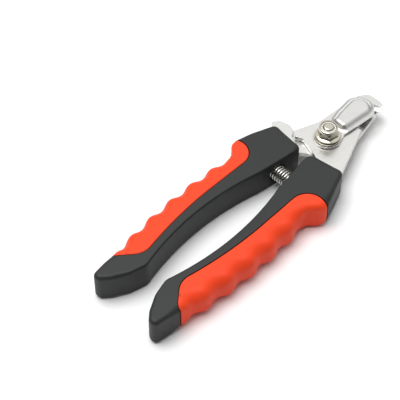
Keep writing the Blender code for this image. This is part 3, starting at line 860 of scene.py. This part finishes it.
    def grip_rows(self, wall: float) -> np.ndarray:
        """Sections of the grip, from its front end to its rear end.

        A section runs from the border on the upper face, over a small lip, across the face, down a
        quarter ellipse to the outer side, and back in the same way below. None of it passes the
        front and rear ends of the recess.

        Args:
            wall: Distance inwards from the grip's surface; none gives the surface itself.

        Returns:
            Array of (section, point, xyz), for the left handle.
        """
        side, way, reach = self.grip_side(wall)
        rim = side - way * (wall + reach[:, None])
        border, front, rear = self.grip_border(rim, wall)
        count = len(side)
        top = LEVELS.height - wall
        across = rim - border
        width = np.maximum(np.linalg.norm(across, axis=1), 1e-6)
        lip = GRIP.lip if wall == 0 else 0.0
        half = [np.column_stack([border, np.full(count, top - GRIP.wall + GAP + wall)])]
        for a in np.linspace(0, math.pi / 2, 5):
            share = np.minimum(lip * (1 - math.cos(a)) / width, 1.0)
            height = np.full(count, top - lip * (1 - math.sin(a)))
            half.append(np.column_stack([border + across * share[:, None], height]))
        for part in (0.35, 0.7):
            share = np.maximum(np.minimum(lip / width, 1.0), part)
            half.append(np.column_stack([border + across * share[:, None], np.full(count, top)]))
        drop = np.minimum(reach, top - LEVELS.middle - 0.2)
        for a in np.linspace(0, math.pi / 2, 12):
            flat = rim + way * (reach * math.sin(a))[:, None]
            half.append(np.column_stack([flat, top - drop * (1 - math.cos(a))]))
        upper = np.stack(half, axis=1)
        x, y = upper[:, :, 0], upper[:, :, 1]
        x = np.minimum(x, np.interp(y, front[:, 1], front[:, 0]))
        upper[:, :, 0] = np.maximum(x, np.interp(y, rear[:, 1], rear[:, 0]))
        lower = upper[:, ::-1].copy()
        lower[:, :, 2] = LEVELS.height - lower[:, :, 2]
        return np.concatenate([upper, lower], axis=1)

    def make_grip(self) -> None:
        """Build the grip as a closed shell between its surface and the wall's inner side."""
        outside, inside = self.grip_rows(0.0), self.grip_rows(GRIP.wall - GAP)
        grid = np.concatenate([outside, inside[:, ::-1]], axis=1)
        grid[:, :, 1] *= self.side.value
        rows, columns = grid.shape[:2]
        half = columns // 2
        faces = quads(rows, columns).tolist()
        k = np.arange(half - 1)
        cap = np.stack([k, k + 1, columns - 2 - k, columns - 1 - k], axis=-1)
        faces += cap.tolist() + (cap[:, ::-1] + (rows - 1) * columns).tolist()
        grip = new_body("soft_grip_" + self.side.word, grid.reshape(-1, 3), faces)
        dress(grip, FINISHES.rubber, 50.0)
        place(grip, self.side.word + "_grip", self.side.body)

    def make(self) -> None:
        """Build both pieces of the handle."""
        self.make_core()
        self.make_grip()


# ---------------------------------------------------------------- pivot


@dataclass
class PivotStack:
    """Bolt, washers and flanged lock nut with its nylon ring."""

    bolt_radius: float = 2.5
    head_radius: float = 4.8
    socket: float = 1.5
    stand_out: float = 0.3
    thread_pitch: float = 0.8
    thread_depth: float = 0.28
    flange_radius: float = 5.6
    across_flats: float = 8.0
    collar_radius: float = 4.2
    insert_radius: float = 3.3
    insert_depth: float = 1.5
    nut_washer_radius: float = 6.0
    head_washer_radius: float = 5.5
    nut_turn: float = 20.0

    def hexagon(self, flats: float, turn: float, sides: int) -> np.ndarray:
        """Radius of a hexagon at each angle: half its width over the cosine from the nearest flat."""
        a = np.linspace(0, 2 * math.pi, sides, endpoint=False) - math.radians(turn)
        from_flat = (a + math.pi / 6) % (math.pi / 3) - math.pi / 6
        return flats / 2 / np.cos(from_flat)

    def make_bolt(self) -> None:
        """Bolt with a socket head below and a thread that winds once round for each pitch."""
        sides = 96
        low, under = LEVELS.head_low, LEVELS.head_low + LEVELS.head
        end = LEVELS.nut_top + self.stand_out
        a = np.linspace(0, 1, sides, endpoint=False)
        key = self.hexagon(2 * self.socket, 0.0, sides)
        key_deep, head = low + 1.6, self.head_radius
        rows = [(0.02, key_deep + 0.2), (key * 0.96, key_deep), (key, key_deep - 0.1), (key, low + 0.15),
                (key + 0.2, low), (head - 1.4, low), (head - 0.9, low + 0.12), (head - 0.4, low + 0.5),
                (head - 0.1, low + 1.0), (head, low + 1.6), (head, under - 0.15), (head - 0.15, under),
                (self.bolt_radius + 0.1, under), (self.bolt_radius, under + 0.1)]
        z = np.linspace(LEVELS.guard_low, end - 0.45, 120)
        for height in z:
            phase = (height / self.thread_pitch - a) % 1.0
            ridge = np.clip(2.4 * np.abs(phase - 0.5) - 0.1, 0, 1)
            rows.append((self.bolt_radius - self.thread_depth * ridge, height))
        rows += [(self.bolt_radius - 0.34, end - 0.22), (self.bolt_radius - 0.5, end - 0.06),
                 (self.bolt_radius - 0.75, end), (1.2, end + 0.02), (0.02, end + 0.02)]
        bolt = turned_body("bolt_with_thread", rows, sides=sides)
        dress(bolt, FINISHES.nickel, 40.0)
        place(bolt, "pivot_bolt", "right_lever")

    def make_nut(self) -> None:
        """Nut whose hexagon is cut by cones at both ends, with a dished flange and a round collar."""
        sides = 144
        low, top = LEVELS.nut_low, LEVELS.nut_top
        clear = self.bolt_radius + RUNNING
        flats = self.hexagon(self.across_flats, self.nut_turn, sides)
        flange_top, hex_top = low + 0.95, top - self.insert_depth - 0.1
        rows = [(clear, low), (self.flange_radius - 0.15, low), (self.flange_radius, low + 0.15),
                (self.flange_radius, low + 0.35), (self.flange_radius - 0.12, low + 0.48)]
        for s in np.linspace(0.12, 1, 7):
            cone = self.flange_radius - 0.12 - (self.flange_radius - self.across_flats / 2 - 0.2) * s
            rows.append((np.maximum(cone, np.minimum(flats, cone + 1.3 * s)), low + 0.48 + 0.4 * s ** 1.6))
        rows.append((flats, flange_top + 0.1))
        for s in np.linspace(0, 1, 12):
            cone = self.across_flats / 2 * 1.16 - 0.62 * s ** 1.3
            rows.append((np.minimum(flats, cone), hex_top - 0.9 * (1 - s)))
        neck = self.collar_radius
        rows += [(neck, hex_top + 0.12), (neck, top - 0.6)]
        a = np.linspace(0, math.pi / 2, 6)
        rows += [(neck - 0.45 * (1 - math.cos(t)), top - 0.45 * (1 - math.sin(t))) for t in a]
        inner = self.insert_radius + RUNNING
        rows += [(inner + 0.03, top), (inner, top - 0.08), (inner, top - self.insert_depth),
                 (clear, top - self.insert_depth)]
        nut = turned_body("lock_nut", rows, sides=sides, looped=True)
        dress(nut, FINISHES.nickel, 30.0)
        place(nut, "flange_nut", "right_lever")

        inner = self.insert_radius - 0.1
        floor = top - self.insert_depth + GAP
        rows = [(clear, floor), (inner, floor), (inner, top - 0.42), (inner - 0.1, top - 0.32),
                (clear + 0.3, top - 0.2), (clear + 0.06, top - 0.24), (clear, top - 0.34)]
        ring = turned_body("nylon_ring", rows, looped=True)
        dress(ring, FINISHES.nylon)
        place(ring, "nut_insert", "right_lever")

    def make_washer(self, name: str, node: str, radius: float, low: float) -> None:
        """Flat washer with rounded rims.

        Args:
            name: Name of the piece.
            node: Frame node that it stands for.
            radius: Outer radius.
            low: Height of its underside.
        """
        inner, high, rim = self.bolt_radius + RUNNING, low + LEVELS.washer, 0.18
        a = np.linspace(-math.pi / 2, 0, 5)
        lower = [(radius - rim + rim * math.cos(t), low + rim + rim * math.sin(t)) for t in a]
        upper = [(r, low + high - z) for r, z in lower[::-1]]
        rows = [(inner, low + 0.1), (inner + 0.1, low)] + lower + upper
        rows += [(inner + 0.1, high), (inner, high - 0.1)]
        washer = turned_body(name, rows, looped=True)
        dress(washer, FINISHES.nickel)
        place(washer, node, "right_lever")

    def make(self) -> None:
        """Build every piece on the bolt; the hidden bush keeps its frame mesh."""
        self.make_bolt()
        self.make_nut()
        self.make_washer("washer_under_nut", "nut_washer", self.nut_washer_radius, LEVELS.nut_washer)
        self.make_washer("washer_under_head", "head_washer", self.head_washer_radius, LEVELS.head_washer)


# ---------------------------------------------------------------- guard


@dataclass
class SafetyGuard:
    """Stamped guard: a flat ring under the nut that steps up to a raised pan over the jaws."""

    base_radius: float = 6.4
    neck: float = 4.9
    neck_x: float = 6.0
    pan: float = 6.1
    pan_x: float = 13.0
    end_radius: float = 7.0
    end_x: float = 22.0
    offset: float = 0.9
    offset_x: float = 14.0
    rise: float = 2.2
    rim_drop: float = 1.9
    rim_width: float = 0.5
    slope_width: float = 3.0
    slope_ease: float = 0.055
    round_off: float = 0.28
    ramp: tuple[float, float] = (6.2, 9.2)
    rows: int = 150
    columns: int = 64

    def half_width(self, x: np.ndarray) -> np.ndarray:
        """Half width in plan: a disc round the bolt, a straight neck and a round end."""
        knots = [0, self.neck_x, self.pan_x, self.end_x]
        half = np.interp(x, knots, [self.base_radius, self.neck, self.pan, self.end_radius])
        half = np.where(x < 0, np.sqrt(np.maximum(self.base_radius ** 2 - x ** 2, 0)), half)
        tail = np.sqrt(np.maximum(self.end_radius ** 2 - (x - self.end_x) ** 2, 0))
        return np.where(x > self.end_x, tail, half)

    def lift(self, x: np.ndarray, edge: np.ndarray) -> np.ndarray:
        """Height of the pan over the base ring.

        It is the rise, less the rim's drop near the edge with smooth bends between, times a smooth
        ramp along the neck.

        Args:
            x: Place along the guard.
            edge: Distance from the rim.

        Returns:
            The height at each point.
        """
        s = np.clip((edge - self.rim_width) / self.slope_width, 0, 1)
        s = s - self.slope_ease * np.sin(2 * math.pi * s)
        pan = self.rise - self.rim_drop * (1 - s)
        return pan * eased((x - self.ramp[0]) / (self.ramp[1] - self.ramp[0]))

    def make(self) -> None:
        """Build the guard as closed loops across it, from its tail to its round end."""
        start, end = -self.base_radius, self.end_x + self.end_radius
        t = np.linspace(0, math.pi, self.rows)[1:-1]
        x = (start + end) / 2 - (end - start) / 2 * np.cos(t)
        half = self.half_width(x)
        middle = self.offset * np.clip(x / self.offset_x, 0, 1)
        v = np.sin(np.linspace(-math.pi / 2, math.pi / 2, self.columns))
        y = middle[:, None] + half[:, None] * v[None, :]
        wide = np.broadcast_to(x[:, None], y.shape)
        from_side = half[:, None] * (1 - np.abs(v))[None, :]
        from_end = self.end_radius - np.hypot(np.maximum(wide - self.end_x, 0), y - self.offset)
        edge = np.where(wide > self.end_x, from_end, from_side)
        low = LEVELS.guard_low + self.lift(wide, edge)
        r = self.round_off
        bite = r - np.sqrt(np.maximum(r ** 2 - np.maximum(r - edge, 0) ** 2, 0))
        under = np.stack([wide, y, low + bite], axis=-1)
        over = np.stack([wide, y, low + LEVELS.guard - bite], axis=-1)
        loops = np.concatenate([under, over[:, ::-1]], axis=1)
        guard = stacked("safety_guard_pan", loops)
        hole, base = PivotStack.bolt_radius + RUNNING, LEVELS.guard_low
        cut(guard, turned_body("hole_tool", [(hole, base - OVER), (hole, base + LEVELS.guard + OVER)]))
        dress(guard, FINISHES.stamped, 45.0)
        place(guard, "safety_guard", "guard")


# ---------------------------------------------------------------- lock and spring


@dataclass
class LockLever:
    """Swinging lever whose catch face sits behind the upper plate's shoulder."""

    pivot: tuple[float, float] = (-19.5, 9.0)
    thickness: float = 1.8
    hub: float = 3.1
    pin: float = 1.5
    rim: float = 0.35

    def make(self) -> None:
        """Build the lever: hub, catch face and thumb tab, with a softly rounded rim."""
        (x, y), hub = self.pivot, self.hub
        outline = rounded([
            (-12.2, 6.0, 0.8), (-9.25, 12.4, 0.6), (-6.5, 13.6, 1.6), (-5.1, 17.4, 3.4), (-6.1, 22.2, 3.0),
            (-9.3, 24.6, 1.2), (-13.0, 20.6, 2.5), (-16.5, 17.6, 3.0),
            (x - hub, y + 0.5 * hub, 0.9 * hub), (x - hub, y - hub, 0.95 * hub), (x + 2.2, y - hub, 2.0)],
            step=8.0)
        low = LEVELS.upper_plate
        lever = slab("lock_lever_plate", outline, low, low + self.thickness, self.rim)
        bore = self.pin + RUNNING
        rows = [(bore, low - OVER), (bore, low + self.thickness + OVER)]
        cut(lever, turned_body("pin_tool", rows, self.pivot, 48))
        dress(lever, FINISHES.plate, 40.0)
        place(lever, "lock_lever", "lock")


@dataclass
class ReturnSpring:
    """Coil compression spring between the handles."""

    x: float = -28.0
    radius: float = 3.7
    wire: float = 0.48
    turns: int = 15
    half_length: float = 10.2
    per_turn: int = 40
    sides: int = 12

    def make(self) -> None:
        """Build the coil as a round wire carried along a helix that spans the gap between the levers."""
        angle = np.linspace(0, 2 * math.pi * self.turns, self.turns * self.per_turn + 1)
        end = self.half_length - self.wire
        y = np.linspace(-end, end, len(angle))
        b = np.linspace(0, 2 * math.pi, self.sides, endpoint=False)
        out = self.radius - self.wire + self.wire * np.cos(b)[None, :]
        grid = np.stack([
            self.x + np.cos(angle)[:, None] * out,
            y[:, None] + self.wire * np.sin(b)[None, :],
            LEVELS.middle + np.sin(angle)[:, None] * out], axis=-1)
        spring = stacked("coil_spring", grid)
        dress(spring, FINISHES.wire, 60.0)
        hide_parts("return_spring")
        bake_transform(spring)
        LOG.info("coil_spring: %d points between the levers", len(spring.data.vertices))


# ---------------------------------------------------------------- studio


@dataclass
class Studio:
    """Pale floor, one soft light, pale surroundings and the camera."""

    lens: float = 130.5
    camera: tuple[float, float, float] = (-341.6, -252.3, 479.2)
    target: tuple[float, float, float] = (-66.3, 13.1, 14.25)
    floor_size: float = 4.0
    floor_drop: float = 0.0001
    floor_white: float = 0.95
    key_at: tuple[float, float, float] = (-0.13, 0.27, 1.1)
    key_size: float = 0.85
    key_power: float = 11.5
    bright_side: tuple[float, float, float] = (0.62, 0.46, 0.63)
    facing_range: tuple[float, float] = (-0.15, 0.85)
    facing_strength: tuple[float, float] = (0.10, 0.95)
    height_range: tuple[float, float] = (0.1, 0.7)
    height_strength: tuple[float, float] = (0.4, 1.0)

    def frame_point(self, point: tuple[float, float, float]) -> Vector:
        """Point about the pivot in millimetres as a point of the frame in metres."""
        return Vector((point[0] + PIVOT_X, point[1], point[2])) * MM

    def make_floor(self) -> None:
        """Plain pale floor just under the handles."""
        half = self.floor_size / 2
        mesh = bpy.data.meshes.new("floor")
        ways = [(-1, -1), (1, -1), (1, 1), (-1, 1)]
        corners = [(x * half, y * half, -self.floor_drop) for x, y in ways]
        mesh.from_pydata(corners, [], [[0, 1, 2, 3]])
        floor = bpy.data.objects.new("floor", mesh)
        bpy.context.scene.collection.objects.link(floor)
        paint = bpy.data.materials.new("pale_floor")
        paint.use_nodes = True
        shader = paint.node_tree.nodes["Principled BSDF"]
        shader.inputs["Base Color"].default_value = (*[self.floor_white] * 3, 1.0)
        shader.inputs["Roughness"].default_value = 0.7
        shader.inputs["Specular IOR Level"].default_value = 0.2
        mesh.materials.append(paint)

    def make_light(self, name: str, at: tuple[float, float, float], size: float, power: float) -> None:
        """Square soft light aimed at the middle of the clipper.

        Args:
            name: Name of the light.
            at: Its place in metres.
            size: Its side in metres.
            power: Its power in watts.
        """
        data = bpy.data.lights.new(name, "AREA")
        data.shape = "SQUARE"
        data.size = size
        data.energy = power
        light = bpy.data.objects.new(name, data)
        light.location = at
        light.rotation_mode = "QUATERNION"
        light.rotation_quaternion = Vector(at).to_track_quat("Z", "Y")
        bpy.context.scene.collection.objects.link(light)

    def smooth_ramp(self, tree: bpy.types.NodeTree, source: bpy.types.NodeSocket,
                    between: tuple[float, float], strength: tuple[float, float]) -> bpy.types.NodeSocket:
        """Strength that eases from one value to another as its source passes a range.

        Args:
            tree: Node tree that the ramp is added to.
            source: Value that drives it.
            between: Ends of the source's range.
            strength: Strength at each end.

        Returns:
            The strength.
        """
        ramp = tree.nodes.new("ShaderNodeMapRange")
        ramp.interpolation_type = "SMOOTHSTEP"
        for name, ends in (("From", between), ("To", strength)):
            ramp.inputs[name + " Min"].default_value = ends[0]
            ramp.inputs[name + " Max"].default_value = ends[1]
        tree.links.new(source, ramp.inputs["Value"])
        return ramp.outputs["Result"]

    def make_world(self) -> None:
        """Surroundings that are pale on the far side and overhead, and dark on the near side."""
        world = bpy.data.worlds.new("studio")
        bpy.context.scene.world = world
        world.use_nodes = True
        tree = world.node_tree
        where = tree.nodes.new("ShaderNodeTexCoord").outputs["Generated"]
        facing = tree.nodes.new("ShaderNodeVectorMath")
        facing.operation = "DOT_PRODUCT"
        facing.inputs[1].default_value = self.bright_side
        tree.links.new(where, facing.inputs[0])
        split = tree.nodes.new("ShaderNodeSeparateXYZ")
        tree.links.new(where, split.inputs["Vector"])
        side = self.smooth_ramp(tree, facing.outputs["Value"], self.facing_range, self.facing_strength)
        rise = self.smooth_ramp(tree, split.outputs["Z"], self.height_range, self.height_strength)
        both = tree.nodes.new("ShaderNodeMath")
        both.operation = "MULTIPLY"
        tree.links.new(side, both.inputs[0])
        tree.links.new(rise, both.inputs[1])
        background = tree.nodes["Background"]
        tree.links.new(both.outputs["Value"], background.inputs["Strength"])
        background.inputs["Color"].default_value = (1.0, 1.0, 1.0, 1.0)

    def make_camera(self) -> None:
        """Camera high behind the right handle's butt, looking along the clipper."""
        data = bpy.data.cameras.new("camera")
        data.lens = self.lens
        data.sensor_width = 36.0
        data.clip_start, data.clip_end = 0.01, 20.0
        camera = bpy.data.objects.new("camera", data)
        here, there = self.frame_point(self.camera), self.frame_point(self.target)
        camera.location = here
        camera.rotation_mode = "QUATERNION"
        camera.rotation_quaternion = (there - here).to_track_quat("-Z", "Y")
        bpy.context.scene.collection.objects.link(camera)
        bpy.context.scene.camera = camera

    def make(self) -> None:
        """Set up the whole studio."""
        bpy.context.scene.view_settings.view_transform = "Standard"
        self.make_floor()
        self.make_world()
        self.make_light("key_light", self.key_at, self.key_size, self.key_power)
        self.make_camera()


def dress_frame_nodes() -> None:
    """Give the hidden pieces that keep their frame meshes a finish each."""
    for node in ("pivot_bush", "lock_pin", "lock_washer"):
        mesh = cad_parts[node].data
        mesh.materials.clear()
        mesh.materials.append(FINISHES.of(FINISHES.plate))
        LOG.info("%s keeps its frame mesh", node)


def main() -> None:
    """Build every sub-assembly in order."""
    logging.basicConfig(level=logging.INFO, format="%(message)s")
    for side in Side:
        BLADES.make(side)
        Handle(side).make()
    PivotStack().make()
    SafetyGuard().make()
    LockLever().make()
    ReturnSpring().make()
    dress_frame_nodes()
    Studio().make()
    bpy.context.view_layer.update()


if __name__ == "__main__":
    main()
